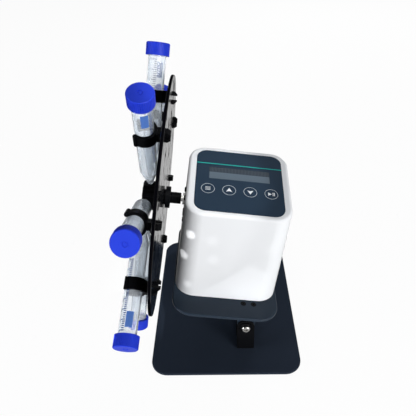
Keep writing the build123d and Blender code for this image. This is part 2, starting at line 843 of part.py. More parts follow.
# ---------------------------------------------------------------- clips, tubes and caps
# Clip frame: X outward along the disc's radius and Z off the disc's outer face.
def jaw_plane(lean):
    """Plane across the tube at the clip's middle, its normal along the tube to the cap."""
    return Plane(
        origin=(0, 0, tube_height),
        x_dir=(0, 1, 0),
        z_dir=(cos(radians(lean)), 0, sin(radians(lean))),
    )


def tube_clip(lean):
    """Snap clip: an open jaw for the tube, a neck, a foot plate and two barbed prongs."""
    jaw_radius = tube_radius + tube_fit
    outer_radius = jaw_radius + clip_wall
    lip_radius = jaw_radius + clip_bead_radius
    slot_end = slot_length / 2 - prong_clearance
    catch = -disc_thickness - prong_clearance
    across = jaw_plane(lean)
    with BuildPart() as clip:
        with BuildSketch(across.offset(-clip_band / 2)):
            Circle(outer_radius)
            with BuildLine():
                reach = 2 * outer_radius
                mouth_x = reach * sin(radians(clip_mouth / 2))
                mouth_y = reach * cos(radians(clip_mouth / 2))
                Polyline((0, 0), (mouth_x, mouth_y), (0, 2 * reach), (-mouth_x, mouth_y),
                         close=True)
            make_face(mode=Mode.SUBTRACT)
            with PolarLocations(lip_radius, 2, start_angle=90 - clip_mouth / 2,
                                angular_range=clip_mouth, endpoint=True):
                Circle(clip_bead_radius)
        extrude(amount=clip_band)
        with BuildSketch():
            Rectangle(clip_band, clip_neck)
        extrude(amount=tube_height - jaw_radius + clip_wall / 2)
        with BuildSketch():
            RectangleRounded(clip_foot_size, clip_foot_size, clip_foot_thickness)
        extrude(amount=clip_foot_thickness)
        with BuildSketch(across):
            Circle(jaw_radius)
        extrude(amount=clip_band, both=True, mode=Mode.SUBTRACT)
        with BuildSketch(Plane.XZ):
            with BuildLine():
                Polyline(
                    (slot_end - prong_thickness, 0),
                    (slot_end, 0),
                    (slot_end, catch),
                    (slot_end + prong_barb, catch),
                    (slot_end + prong_barb, catch - prong_barb),
                    (slot_end - prong_thickness / 2, -disc_thickness - prong_reach),
                    (slot_end - prong_thickness, -disc_thickness - prong_reach),
                    close=True,
                )
            make_face()
            mirror(about=Plane.YZ)
        extrude(amount=prong_width / 2, both=True)
    return clip.part


def tube_body(cap_end):
    """Conical tube about its own axis, from its open rim down to its rounded tip."""
    rim = cap_end - cap_top - running_gap
    tip = rim - tube_length
    shoulder = tip + tube_cone
    bore = tube_radius - tube_wall
    inner_tip = tube_tip_radius - tube_wall
    with BuildPart() as tube:
        with BuildSketch(Plane.XZ):
            with BuildLine():
                Polyline(
                    (0, tip),
                    (tube_tip_radius, tip),
                    (tube_radius, shoulder),
                    (tube_radius, rim),
                    (bore, rim),
                    (bore, shoulder),
                    (inner_tip, tip + tube_wall),
                    (0, tip + tube_wall),
                    close=True,
                )
            make_face()
            fillet(vertices().sort_by(Axis.Y)[:2].sort_by(Axis.X)[-1], tube_tip_round)
        revolve(axis=Axis.Z)
    return tube.part


def screw_cap(cap_end):
    """Ribbed screw cap about the tube's axis, with its dimpled top at cap_end."""
    core = cap_radius - cap_rib_depth
    rib_width = radians(360 / cap_ribs) * cap_radius / 2
    skirt = cap_height - 2 * cap_rib_depth
    with BuildPart() as cap:
        with BuildSketch(Plane.XY.offset(cap_end - cap_height)):
            Circle(core)
            with PolarLocations(core, cap_ribs):
                Rectangle(2 * cap_rib_depth, rib_width)
        extrude(amount=skirt)
        with BuildSketch(Plane.XY.offset(cap_end - 2 * cap_rib_depth)):
            Circle(core)
        extrude(amount=2 * cap_rib_depth)
        chamfer(cap.faces().sort_by(Axis.Z)[-1].edges(), length=cap_rib_depth)
        with BuildSketch(Plane.XY.offset(cap_end)):
            Circle(cap_dimple_radius)
            Circle(cap_nub_radius, mode=Mode.SUBTRACT)
        extrude(amount=-cap_dimple_depth, mode=Mode.SUBTRACT)
        with BuildSketch(Plane.XY.offset(cap_end - cap_height)):
            Circle(tube_radius + cap_thread_gap)
        extrude(amount=cap_height - cap_top, mode=Mode.SUBTRACT)
    return cap.part


# Number of the clip: how far its tube is pushed outward, and its lean off the disc
tubes = {
    1: (0.7, 1.0),
    2: (-2.6, 2.8),
    3: (-1.4, 0.0),
    4: (-3.5, 0.0),
    7: (1.4, 0.0),
    8: (6.8, 0.0),
}

clip_places = PolarLocations(clip_circle, clip_count).local_locations
for number, circle_place in enumerate(clip_places, start=1):
    clip_place = rotor_place * circle_place
    push, lean = tubes.get(number, (0, 0))
    save(tube_clip(lean), f"tube_clip_{number}", clip_place)
    if number in tubes:
        cap_end = cap_end_circle - clip_circle + push
        tube_place = clip_place * jaw_plane(lean).location
        save(tube_body(cap_end), f"tube_{number}", tube_place)
        save(screw_cap(cap_end), f"tube_cap_{number}", tube_place)
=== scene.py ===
# %% [markdown]
# # A tube rotator for the bench, dressed for its portrait
# The machine turns sample tubes end over end: a heavy plate carries a bent steel bracket, a
# motor head tilts in the bracket, and a glossy black disc of snap clips turns on its side.
# The solid model is already exact, so this lesson never changes a shape or a place. It adds
# what a solid modeller leaves out: finishes, printed marks, light and a camera.

# %% Load the solid model as a fixed frame
import json
import math
import bpy
import bmesh
from mathutils import Matrix, Vector


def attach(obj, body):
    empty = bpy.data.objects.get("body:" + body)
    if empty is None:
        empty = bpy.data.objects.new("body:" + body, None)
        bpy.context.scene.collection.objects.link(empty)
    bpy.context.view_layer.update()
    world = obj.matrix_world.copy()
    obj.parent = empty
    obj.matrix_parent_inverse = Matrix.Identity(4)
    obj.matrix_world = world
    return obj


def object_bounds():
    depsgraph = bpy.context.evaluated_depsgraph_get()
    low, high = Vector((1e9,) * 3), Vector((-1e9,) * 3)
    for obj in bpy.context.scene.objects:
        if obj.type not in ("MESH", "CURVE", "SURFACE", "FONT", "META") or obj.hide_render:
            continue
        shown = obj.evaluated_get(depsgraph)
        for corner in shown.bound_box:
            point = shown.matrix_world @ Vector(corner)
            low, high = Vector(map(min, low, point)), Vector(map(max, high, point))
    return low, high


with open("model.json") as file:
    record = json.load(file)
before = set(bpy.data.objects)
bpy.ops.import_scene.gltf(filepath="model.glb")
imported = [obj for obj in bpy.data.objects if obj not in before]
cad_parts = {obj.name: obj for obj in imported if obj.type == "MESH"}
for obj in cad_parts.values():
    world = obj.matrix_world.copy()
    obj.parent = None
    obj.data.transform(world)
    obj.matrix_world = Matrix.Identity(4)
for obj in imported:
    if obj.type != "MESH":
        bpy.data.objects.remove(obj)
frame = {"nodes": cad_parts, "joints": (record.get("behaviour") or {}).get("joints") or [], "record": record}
cad_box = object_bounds()
nodes = frame["nodes"]
joints = {joint["name"]: joint for joint in frame["joints"]}
slot_of = {row["node"]: row["material_slot"] for row in frame["record"]["subparts"]}
body_of = {node: body for body, group in frame["record"]["behaviour"]["bodies"].items()
           for node in group}

# %% [markdown]
# ## Finding places on the model
# Marks and prints have to sit on tilted faces and round tubes. One way is to copy angles out
# of the drawing, but they go stale when it changes. Here each place is read from the model
# itself: a face's own normal, or a joint's own axis, gives a small frame to draw in.

# %% Frames on faces and along axes
millimetre = 0.001
facing_least = 0.5
direction_digits = 3


def axis_frame(origin, along, across):
    """Place with its Z along one direction and its X as near as can be to another."""
    z = Vector(along).normalized()
    x = Vector(across)
    x = (x - z * z.dot(x)).normalized()
    turn = Matrix((x, z.cross(x), z)).transposed().to_4x4()
    return Matrix.Translation(Vector(origin)) @ turn


def face_normal(node, towards):
    """Normal of the largest flat side of a solid piece that looks a given way."""
    areas = {}
    for face in nodes[node].data.polygons:
        if face.normal.dot(towards) > facing_least:
            key = tuple(round(value, direction_digits) for value in face.normal)
            areas[key] = areas.get(key, 0) + face.area
    return Vector(max(areas, key=areas.get)).normalized()


def span(node, place, axis):
    """Lowest and highest reach of a solid piece along one axis of a place."""
    inverse = place.inverted()
    reach = [(inverse @ vertex.co)[axis] for vertex in nodes[node].data.vertices]
    return min(reach), max(reach)


def centred(place, node, level):
    """The same place, moved to the middle of a piece and to its low (0) or high (1) side."""
    middle = [sum(span(node, place, axis)) / 2 for axis in (0, 1)]
    return place @ Matrix.Translation((*middle, span(node, place, 2)[level]))


hinge_axis = Vector(joints["head_tilt"]["axis"])
up = Vector((0, 0, 1))
panel_normal = face_normal("control_overlay", up)
panel = axis_frame((0, 0, 0), panel_normal, hinge_axis.cross(panel_normal))
panel = centred(panel, "control_overlay", 1)
print("the panel's middle is at", [round(value, 4) for value in panel.translation])

# %% [markdown]
# ## Camera
# The portrait looks down on the machine from the front, at about half a metre, with a normal
# lens. A camera could follow a target, but then its roll is out of hand. Here it is placed by
# its position and three turns: yaw, pitch and roll are numbers that a photographer knows.

# %% The camera
image_side = 416
sensor_width = 36.0
focal_pixels = 454.035
centre_x, centre_y = 207.21, 213.93
camera_place = Vector((-0.611, -409.705, 444.27)) * millimetre
yaw, pitch, roll = (math.radians(angle) for angle in (-2.3566, 36.5271, -2.61))

looking = Vector((math.sin(yaw) * math.cos(pitch), math.cos(yaw) * math.cos(pitch),
                  -math.sin(pitch)))
level = Vector((math.cos(yaw), -math.sin(yaw), 0))
rise = level.cross(looking)
right_side = math.cos(roll) * level + math.sin(roll) * rise
top_side = math.cos(roll) * rise - math.sin(roll) * level

lens = bpy.data.cameras.new("camera")
lens.sensor_width = sensor_width
lens.lens = focal_pixels / image_side * sensor_width
lens.shift_x = (image_side / 2 - centre_x) / image_side
lens.shift_y = (centre_y - image_side / 2) / image_side
lens.clip_start = 10 * millimetre
camera = bpy.data.objects.new("camera", lens)
turn = Matrix((right_side, top_side, -looking)).transposed().to_4x4()
camera.matrix_world = Matrix.Translation(camera_place) @ turn
bpy.context.scene.collection.objects.link(camera)
bpy.context.scene.camera = camera
bpy.context.scene.view_settings.view_transform = "Standard"
print(f"lens {lens.lens:.1f} mm")

# %% [markdown]
# ## Shader groups
# Real surfaces are never one flat value. Powder coat has an orange-peel skin, moulded plastic
# a fine grain, polished acrylic faint smears, turned metal a lay of fine lines. Each effect is
# needed by several finishes, so each is a node group with named sockets, and a material picks
# its own scale and depth. A group gives out only masks and heights, never a shader. Painted
# images would do too, but noise on Object coordinates needs no unwrapping and stays sharp.

# %% Group helpers
def new_group(name, inputs, outputs):
    """Shader group with float inputs (label: default) and float outputs, plus its end nodes."""
    group = bpy.data.node_groups.new(name, "ShaderNodeTree")
    for label, default in inputs.items():
        socket = group.interface.new_socket(label, in_out="INPUT",
                                            socket_type="NodeSocketFloat")
        socket.default_value = default
    for label in outputs:
        group.interface.new_socket(label, in_out="OUTPUT", socket_type="NodeSocketFloat")
    return group, group.nodes.new("NodeGroupInput"), group.nodes.new("NodeGroupOutput")


def wire(tree, *links):
    """Join pairs of sockets."""
    for start, end in links:
        tree.links.new(start, end)


def number(tree, operation, *terms, clamp=False):
    """Math node on sockets or plain numbers; gives its result socket."""
    node = tree.nodes.new("ShaderNodeMath")
    node.operation = operation
    node.use_clamp = clamp
    for socket, term in zip(node.inputs, terms):
        if isinstance(term, (int, float)):
            socket.default_value = term
        else:
            tree.links.new(term, socket)
    return node.outputs[0]


def eased(tree, value, start, full, low=0.0, high=1.0):
    """Number that runs smoothly from low to high as a value goes from start to full."""
    node = tree.nodes.new("ShaderNodeMapRange")
    node.interpolation_type = "SMOOTHSTEP"
    for label, setting in (("From Min", start), ("From Max", full), ("To Min", low),
                           ("To Max", high)):
        node.inputs[label].default_value = setting
    tree.links.new(value, node.inputs["Value"])
    return node.outputs["Result"]


print("helpers:", new_group.__name__, wire.__name__, number.__name__, eased.__name__)

# %% [markdown]
# Powder coat and moulded plastic share a pebbled skin. It could be sculpted, but its bumps are
# finer than any mesh. So one noise gives the pebbles as a height, and a second, much wider one
# gives patches in which colour and roughness drift a little.

# %% Skin: the pebbled surface of powder coat and moulded plastic
skin_patches_per_metre = 14


def build_skin():
    group, start, end = new_group("skin", {"Grain per metre": 1500, "Softness": 0.5},
                                  ["Height", "Patches"])
    where = group.nodes.new("ShaderNodeTexCoord")
    grain = group.nodes.new("ShaderNodeTexNoise")
    grain.inputs["Detail"].default_value = 2
    patches = group.nodes.new("ShaderNodeTexNoise")
    patches.inputs["Scale"].default_value = skin_patches_per_metre
    patches.inputs["Detail"].default_value = 3
    wire(group,
         (where.outputs["Object"], grain.inputs["Vector"]),
         (where.outputs["Object"], patches.inputs["Vector"]),
         (start.outputs["Grain per metre"], grain.inputs["Scale"]),
         (start.outputs["Softness"], grain.inputs["Roughness"]),
         (grain.outputs["Fac"], end.inputs["Height"]),
         (patches.outputs["Fac"], end.inputs["Patches"]))
    return group


skin = build_skin()
print("group", skin.name)

# %% [markdown]
# A polished face shows where it was wiped: soft swirls, and specks of dust that came back.
# Each is a noise of its own, stretched to the size of the real mark, and comes out as a mask,
# so that a finish can take one of them or both.

# %% Smears: what fingers and wiping leave on a polished face
swirl_twist = 1.2
specks_per_metre = 900
speck_from = 0.78


def build_smears():
    group, start, end = new_group("smears", {"Smears per metre": 25, "Stretch": 3},
                                  ["Smear", "Dust"])
    where = group.nodes.new("ShaderNodeTexCoord")
    squash = group.nodes.new("ShaderNodeVectorMath")
    squash.operation = "MULTIPLY"
    sides = group.nodes.new("ShaderNodeCombineXYZ")
    sides.inputs["X"].default_value = 1
    sides.inputs["Y"].default_value = 1
    swirl = group.nodes.new("ShaderNodeTexNoise")
    swirl.inputs["Detail"].default_value = 5
    swirl.inputs["Distortion"].default_value = swirl_twist
    speck = group.nodes.new("ShaderNodeTexNoise")
    speck.inputs["Scale"].default_value = specks_per_metre
    speck.inputs["Detail"].default_value = 1
    wire(group,
         (where.outputs["Object"], squash.inputs[0]),
         (start.outputs["Stretch"], sides.inputs["Z"]),
         (sides.outputs["Vector"], squash.inputs[1]),
         (squash.outputs["Vector"], swirl.inputs["Vector"]),
         (where.outputs["Object"], speck.inputs["Vector"]),
         (start.outputs["Smears per metre"], swirl.inputs["Scale"]),
         (swirl.outputs["Fac"], end.inputs["Smear"]),
         (number(group, "GREATER_THAN", speck.outputs["Fac"], speck_from),
          end.inputs["Dust"]))
    return group


smears = build_smears()
print("group", smears.name)

# %% [markdown]
# A cutting tool leaves fine parallel lines, called the lay. Modelled lines would take millions
# of faces; a noise that is stretched along one side draws them as a height for a bump.

# %% Lay: the fine lines that turning and brushing leave on metal
def build_lay():
    group, start, end = new_group("lay", {"Lines per metre": 2500, "Along X": 1,
                                          "Along Y": 1, "Along Z": 0.03}, ["Height"])
    where = group.nodes.new("ShaderNodeTexCoord")
    sides = group.nodes.new("ShaderNodeCombineXYZ")
    squash = group.nodes.new("ShaderNodeVectorMath")
    squash.operation = "MULTIPLY"
    lines = group.nodes.new("ShaderNodeTexNoise")
    lines.inputs["Detail"].default_value = 2
    wire(group,
         (start.outputs["Along X"], sides.inputs["X"]),
         (start.outputs["Along Y"], sides.inputs["Y"]),
         (start.outputs["Along Z"], sides.inputs["Z"]),
         (where.outputs["Object"], squash.inputs[0]),
         (sides.outputs["Vector"], squash.inputs[1]),
         (squash.outputs["Vector"], lines.inputs["Vector"]),
         (start.outputs["Lines per metre"], lines.inputs["Scale"]),
         (lines.outputs["Fac"], end.inputs["Height"]))
    return group


lay = build_lay()
print("group", lay.name)

# %% [markdown]
# ## Finishes
# A finish is one Principled shader whose colour, roughness and normal are each nudged by a
# group. Constants such as the specular level go straight on the shader's own socket. A short
# class keeps the wiring of every finish down to a few readable lines.

# %% The finish builder
# A Mix node has sockets for every kind of data; these are the ones for colours
mix_first, mix_second, mix_result = 6, 7, 2


class Finish:
    """One material: a Principled shader and what is wired into it."""

    mask_low, mask_high = 0.3, 0.7

    def __init__(self, name, **constants):
        self.material = bpy.data.materials.new(name)
        self.material.use_nodes = True
        self.tree = self.material.node_tree
        self.shader = self.tree.nodes["Principled BSDF"]
        for label, value in constants.items():
            self.shader.inputs[label.replace("_", " ")].default_value = value

    def effect(self, group, **settings):
        """Places a shader group and sets its inputs."""
        node = self.tree.nodes.new("ShaderNodeGroup")
        node.node_tree = group
        for label, value in settings.items():
            node.inputs[label.replace("_", " ")].default_value = value
        return node

    def blend(self, mask, low, high):
        """Colour that runs from low to high as a mask runs from 0 to 1."""
        mix = self.tree.nodes.new("ShaderNodeMix")
        mix.data_type = "RGBA"
        mix.inputs[mix_first].default_value = (*low, 1)
        mix.inputs[mix_second].default_value = (*high, 1)
        self.tree.links.new(mask, mix.inputs[0])
        return mix.outputs[mix_result]

    def ramp(self, mask, low, high):
        """Number that runs from low to high as a mask crosses its middle range."""
        node = self.tree.nodes.new("ShaderNodeMapRange")
        for label, value in (("From Min", self.mask_low), ("From Max", self.mask_high),
                             ("To Min", low), ("To Max", high)):
            node.inputs[label].default_value = value
        self.tree.links.new(mask, node.inputs["Value"])
        return node.outputs["Result"]

    def relief(self, height, depth):
        """Bumps the normal by a height mask; depth in metres."""
        bump = self.tree.nodes.new("ShaderNodeBump")
        bump.inputs["Distance"].default_value = depth
        self.tree.links.new(height, bump.inputs["Height"])
        self.tree.links.new(bump.outputs["Normal"], self.shader.inputs["Normal"])

    def colour(self, socket):
        """Wires a colour into the shader."""
        self.tree.links.new(socket, self.shader.inputs["Base Color"])

    def roughness(self, socket):
        """Wires a roughness into the shader."""
        self.tree.links.new(socket, self.shader.inputs["Roughness"])


def grained(name, low, high, rough, grain, depth, **constants):
    """Finish with a pebbled skin: two near colours, two roughnesses and a grain."""
    finish = Finish(name, **constants)
    effect = finish.effect(skin, Grain_per_metre=grain)
    finish.colour(finish.blend(effect.outputs["Patches"], low, high))
    finish.roughness(finish.ramp(effect.outputs["Patches"], *rough))
    finish.relief(effect.outputs["Height"], depth)
    return finish


finishes = {}
print("finishes are built by", Finish.__name__, "and", grained.__name__)

# %% [markdown]
# ### Painted steel
# The plate, the tray and the bracket are powder coated: a satin skin with a faint pebble. A
# plain glossy black would mirror the white room and turn grey, so the colour is measured out
# in the base and a low specular level keeps it deep.

# %% Powder coats
finishes["base_paint"] = grained(
    "base_paint", (0.020, 0.0265, 0.0400), (0.026, 0.0345, 0.0510), (0.5, 0.6), 1400,
    0.00003, Specular_IOR_Level=0.004)
finishes["tray_paint"] = grained(
    "tray_paint", (0.019, 0.0285, 0.043), (0.022, 0.033, 0.049), (0.28, 0.36), 1400,
    0.00002, Specular_IOR_Level=0.12)
finishes["bracket_black"] = grained(
    "bracket_black", (0.0018, 0.002, 0.0026), (0.0028, 0.003, 0.0038), (0.4, 0.5), 1600,
    0.00002, Specular_IOR_Level=0.08)
finishes["screw_black"] = grained(
    "screw_black", (0.0012, 0.0012, 0.0016), (0.0024, 0.0024, 0.003), (0.3, 0.42), 2200,
    0.00001, Specular_IOR_Level=0.08)
print("painted and blackened:", ", ".join(finishes))

# %% [markdown]
# ### Mouldings
# The housing is a smooth white moulding, the clips, hub and knob are black plastic with a matt
# grain, and the caps are blue polypropylene. One recipe serves them all: the grain says how
# fine the mould's skin is, and the specular level how much of the room the plastic mirrors.
# Feet, boards and the display module hardly show and get plainer values.

# %% Plastics
finishes["housing_white"] = grained(
    "housing_white", (0.82, 0.832, 0.85), (0.845, 0.857, 0.872), (0.2, 0.28), 500,
    0.00001, Specular_IOR_Level=0.06)
finishes["clip_black"] = grained(
    "clip_black", (0.0016, 0.0018, 0.0024), (0.0026, 0.0028, 0.0036), (0.42, 0.55), 2600,
    0.00003, Specular_IOR_Level=0.05)
finishes["rubber_black"] = grained(
    "rubber_black", (0.008, 0.008, 0.009), (0.013, 0.013, 0.014), (0.7, 0.85), 1800,
    0.00004, Specular_IOR_Level=0.2)
finishes["cap_blue"] = grained(
    "cap_blue", (0.019, 0.047, 0.58), (0.023, 0.054, 0.65), (0.34, 0.46), 900,
    0.00002, Specular_IOR_Level=0.14)
finishes["hub_black"] = grained(
    "hub_black", (0.0014, 0.0018, 0.0026), (0.0022, 0.0026, 0.0036), (0.4, 0.5), 2400,
    0.00001, Specular_IOR_Level=0.05)
finishes["board_green"] = grained(
    "board_green", (0.006, 0.07, 0.025), (0.01, 0.1, 0.035), (0.25, 0.35), 700,
    0.00002, Specular_IOR_Level=0.4)
finishes["display_module"] = grained(
    "display_module", (0.01, 0.012, 0.015), (0.02, 0.022, 0.026), (0.3, 0.4), 900,
    0.00001, Specular_IOR_Level=0.4)
print(len(finishes), "finishes so far")

# %% [markdown]
# ### Polished acrylic
# The disc is cast acrylic, polished on both sides. Seen nearly edge on it mirrors the room, so
# most of its colour in a picture is reflection. A perfect mirror looks false: faint smears
# vary its roughness. Where the face is seen at a low angle, dark streaks of painted reflection
# cut its mirroring, standing in for the clips and slots that it reflects. No other finish has
# such streaks, so they are wired here and not in a group. The disc's rim and the walls of its
# slots are cut and not polished, so they mirror nothing.

# %% The disc
face_least = 0.7
low_angle_from, low_angle_full = 0.72, 0.92
face_mirror = 0.5
# Streaks of painted reflection, for the clips and slots that the face mirrors at a low angle
streaks_per_metre = 95
streak_stretch = (1, 1, 0.7)
streak_from, streak_full = 0.57, 0.63


def acrylic():
    finish = Finish("disc_black", IOR=1.49, Specular_IOR_Level=face_mirror)
    effect = finish.effect(smears, Smears_per_metre=22, Stretch=0.25)
    finish.colour(finish.blend(effect.outputs["Dust"], (0.002, 0.002, 0.003),
                               (0.012, 0.012, 0.014)))
    finish.roughness(finish.ramp(effect.outputs["Smear"], 0.05, 0.16))
    where = finish.tree.nodes.new("ShaderNodeTexCoord")
    side = finish.tree.nodes.new("ShaderNodeVectorMath")
    side.operation = "DOT_PRODUCT"
    side.inputs[1].default_value = joints["rotor_spin"]["axis"]
    upright = finish.tree.nodes.new("ShaderNodeVectorMath")
    upright.operation = "MULTIPLY"
    upright.inputs[1].default_value = streak_stretch
    streak = finish.tree.nodes.new("ShaderNodeTexNoise")
    streak.inputs["Scale"].default_value = streaks_per_metre
    streak.inputs["Detail"].default_value = 1
    wire(finish.tree,
         (where.outputs["Normal"], side.inputs[0]),
         (where.outputs["Object"], upright.inputs[0]),
         (upright.outputs["Vector"], streak.inputs["Vector"]))
    is_face = number(finish.tree, "GREATER_THAN",
                     number(finish.tree, "ABSOLUTE", side.outputs["Value"]), face_least)
    slant = finish.tree.nodes.new("ShaderNodeLayerWeight")
    # Painted reflection: dark streaks that cut the mirroring where the face is seen at a low angle
    dark_reflection_streaks = number(finish.tree, "MULTIPLY",
                    eased(finish.tree, streak.outputs["Fac"], streak_from, streak_full),
                    eased(finish.tree, slant.outputs["Facing"], low_angle_from,
                          low_angle_full))
    mirroring = number(finish.tree, "MULTIPLY", is_face,
                    number(finish.tree, "SUBTRACT", 1.0, dark_reflection_streaks))
    level = number(finish.tree, "MULTIPLY", mirroring, face_mirror)
    finish.tree.links.new(level, finish.shader.inputs["Specular IOR Level"])
    return finish


finishes["disc_black"] = acrylic()
print("disc finish with", len(finishes["disc_black"].tree.nodes), "nodes")

# %% [markdown]
# ### Printed film and display glass
# The panel is a navy polyester film, printed on its back, so it is satin with a barely visible
# texture. The display behind its window is off, a paler glass. Along its top lies a dark strip
# of painted shadow, the shadow of the window's recess, crossed by fine pins. Both lie on one
# flat window, so a mask across the panel's own height parts them, which needs neither a second
# piece nor a picture.

# %% Film and window
# Painted shadow of the window's recess, then the glass's own paler colour
window_recess_shadow = (0.022, 0.034, 0.05)
window_pale = (0.09, 0.127, 0.165)
recess_shadow_share = 0.44
pin_pitch = 1.5 * millimetre
pin_shade = 0.35
recess_shadow_blur = 0.4 * millimetre

finishes["panel_navy"] = grained(
    "panel_navy", (0.0175, 0.034, 0.059), (0.0195, 0.038, 0.064), (0.3, 0.38), 3000,
    0.00001, Specular_IOR_Level=0.1)


def display_glass():
    finish = Finish("window_grey", Specular_IOR_Level=0.45, Roughness=0.12)
    low, high = span("lcd_window", panel, 1)
    where = finish.tree.nodes.new("ShaderNodeTexCoord")
    turn_to_panel = finish.tree.nodes.new("ShaderNodeMapping")
    turn_to_panel.vector_type = "TEXTURE"
    turn_to_panel.inputs["Location"].default_value = panel.translation
    turn_to_panel.inputs["Rotation"].default_value = panel.to_euler()
    apart = finish.tree.nodes.new("ShaderNodeSeparateXYZ")
    wire(finish.tree,
         (where.outputs["Object"], turn_to_panel.inputs["Vector"]),
         (turn_to_panel.outputs["Vector"], apart.inputs["Vector"]))
    # Above this edge the window carries painted shadow of its recess; fine pins lighten it in lines
    edge = high - recess_shadow_share * (high - low)
    strip = eased(finish.tree, apart.outputs["Y"], edge - recess_shadow_blur, edge + recess_shadow_blur)
    wave = number(finish.tree, "SINE",
                  number(finish.tree, "MULTIPLY", apart.outputs["X"], 2 * math.pi / pin_pitch))
    pins = number(finish.tree, "MULTIPLY", wave, pin_shade, clamp=True)
    recess_shadow_with_pins = number(finish.tree, "SUBTRACT", strip,
                     number(finish.tree, "MULTIPLY", strip, pins))
    finish.colour(finish.blend(recess_shadow_with_pins, window_pale, window_recess_shadow))
    print("window", round((high - low) / millimetre, 1), "mm high")
    return finish


finishes["window_grey"] = display_glass()

# %% [markdown]
# ### Clear tubes
# The tubes are clear polypropylene: light passes, but a slight haze and a cool tint stay. Pure
# glass would look like lab glassware, so a part of the shader's weight is left diffuse, which
# is the haze. The walls have their real thickness, but they bend light less than the plastic
# does, because at full strength their many edges crumple all that lies behind them.

# %% The tube plastic
tube_passes = 0.82
tube_bend = 1.18
# Painted shade along the tube's outlines: how wide it reaches and its blue-grey colour
edge_shade_width = 0.12
edge_shade_colour = (0.58, 0.70, 0.86)


def clear_plastic():
    finish = Finish("tube_clear", Transmission_Weight=tube_passes, IOR=tube_bend)
    effect = finish.effect(smears, Smears_per_metre=60, Stretch=0.4)
    haze = finish.blend(effect.outputs["Smear"], (0.945, 0.972, 0.995), (0.965, 0.982, 0.998))
    # Towards the tube's outlines the colour turns blue-grey: painted shade along the edges of the wall
    edge = finish.tree.nodes.new("ShaderNodeLayerWeight")
    edge.inputs["Blend"].default_value = edge_shade_width
    tint = finish.tree.nodes.new("ShaderNodeMix")
    tint.data_type = "RGBA"
    tint.inputs[mix_second].default_value = (*edge_shade_colour, 1)
    wire(finish.tree, (edge.outputs["Facing"], tint.inputs[0]), (haze, tint.inputs[mix_first]))
    finish.colour(tint.outputs[mix_result])
    finish.roughness(finish.ramp(effect.outputs["Smear"], 0.02, 0.08))
    return finish


finishes["tube_clear"] = clear_plastic()
print("tube finish passes", f"{tube_passes:.0%}", "of its light")

# %% [markdown]
# ### Bare metal
# Screws, shaft and motor are bare. Metal is all reflection, so the lines that turning leaves
# matter more than its colour. Anisotropic shading would need tangents, which these solids
# don't carry, so the lay group bumps the normal instead.

# %% Metals
def metal(name, low, high, rough, lines, depth):
    """Bare metal finish with the fine lines of its lay."""
    finish = Finish(name, Metallic=1.0)
    effect = finish.effect(lay, Lines_per_metre=lines)
    finish.colour(finish.blend(effect.outputs["Height"], low, high))
    finish.roughness(finish.ramp(effect.outputs["Height"], *rough))
    finish.relief(effect.outputs["Height"], depth)
    return finish


finishes["screw_bright"] = metal("screw_bright", (0.46, 0.45, 0.43), (0.58, 0.57, 0.55),
                                 (0.14, 0.26), 1500, 0.00001)
finishes["motor_steel"] = metal("motor_steel", (0.48, 0.48, 0.47), (0.62, 0.62, 0.61),
                                (0.25, 0.4), 1800, 0.00001)
finishes["insert_brass"] = metal("insert_brass", (0.62, 0.42, 0.16), (0.75, 0.52, 0.22),
                                 (0.2, 0.35), 1500, 0.00001)
print(len(finishes), "finishes")

# %% [markdown]
# ## Dressing the solid pieces
# The solids arrive as loose triangles, so their round sides would show facets. A Weld modifier
# joins them and an Edge Split keeps true edges crisp while round sides shade smoothly. Both
# stay live on the piece, and its own vertices are never touched.

# %% Smooth shading and finishes on every solid piece
weld_distance = 0.002 * millimetre
crisp_angle = math.radians(34)

for name, piece in nodes.items():
    piece.data.shade_smooth()
    weld = piece.modifiers.new("weld", "WELD")
    weld.merge_threshold = weld_distance
    split = piece.modifiers.new("crisp edges", "EDGE_SPLIT")
    split.split_angle = crisp_angle
    split.use_edge_sharp = False
    piece.data.materials.clear()
    piece.data.materials.append(finishes[slot_of[name]].material)
print("dressed", len(nodes), "solid pieces")

# %% [markdown]
# ## Inks
# The panel carries a teal rule, four ringed keys and their signs; the tubes carry blue scales.
# Print could be painted in a shader, but as thin raised ink it stays sharp from any distance
# and goes with the piece that carries it. Each ink is a matt film with a slightly uneven
# tone.

# %% Ink finishes
def ink(name, low, high):
    """Matt ink; gives its material."""
    finish = grained(name, low, high, (0.5, 0.6), 2500, 0.000004, Specular_IOR_Level=0.2)
    return finish.material


ink_light = ink("ink_light", (0.50, 0.56, 0.61), (0.56, 0.62, 0.66))
ink_white = ink("ink_white", (0.78, 0.80, 0.82), (0.84, 0.86, 0.87))
ink_teal = ink("ink_teal", (0.012, 0.34, 0.30), (0.016, 0.38, 0.34))
ink_scale = ink("ink_scale", (0.015, 0.045, 0.17), (0.022, 0.06, 0.21))
ink_patch = ink("ink_patch", (0.07, 0.16, 0.48), (0.09, 0.20, 0.54))
ink_height = 0.03 * millimetre
print("five inks", round(ink_height / millimetre, 3), "mm high")

# %% [markdown]
# A printed mark starts as a flat outline. Drawn as a curve it would still have to be made a
# mesh, so the outline is filled as one face, given the ink's height and handed to the body
# that carries it.

# %% Laying ink on a body
def keep(mesh, name, body, material, slot):
    """Turns a finished mesh into a piece that moves with a body."""
    mesh.name = name
    mesh.materials.clear()
    mesh.materials.append(material)
    piece = bpy.data.objects.new(name, mesh)
    bpy.context.scene.collection.objects.link(piece)
    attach(piece, body)
    return piece


def slab(outline, thickness):
    """Mesh of a flat outline, from Z = 0 up by a thickness."""
    work = bmesh.new()
    face = work.faces.new([work.verts.new((x, y, 0)) for x, y in outline])
    moved = bmesh.ops.extrude_face_region(work, geom=[face])
    for item in moved["geom"]:
        if isinstance(item, bmesh.types.BMVert):
            item.co.z += thickness
    bmesh.ops.recalc_face_normals(work, faces=work.faces)
    mesh = bpy.data.meshes.new("slab")
    work.to_mesh(mesh)
    work.free()
    return mesh


print("helpers:", keep.__name__, slab.__name__)

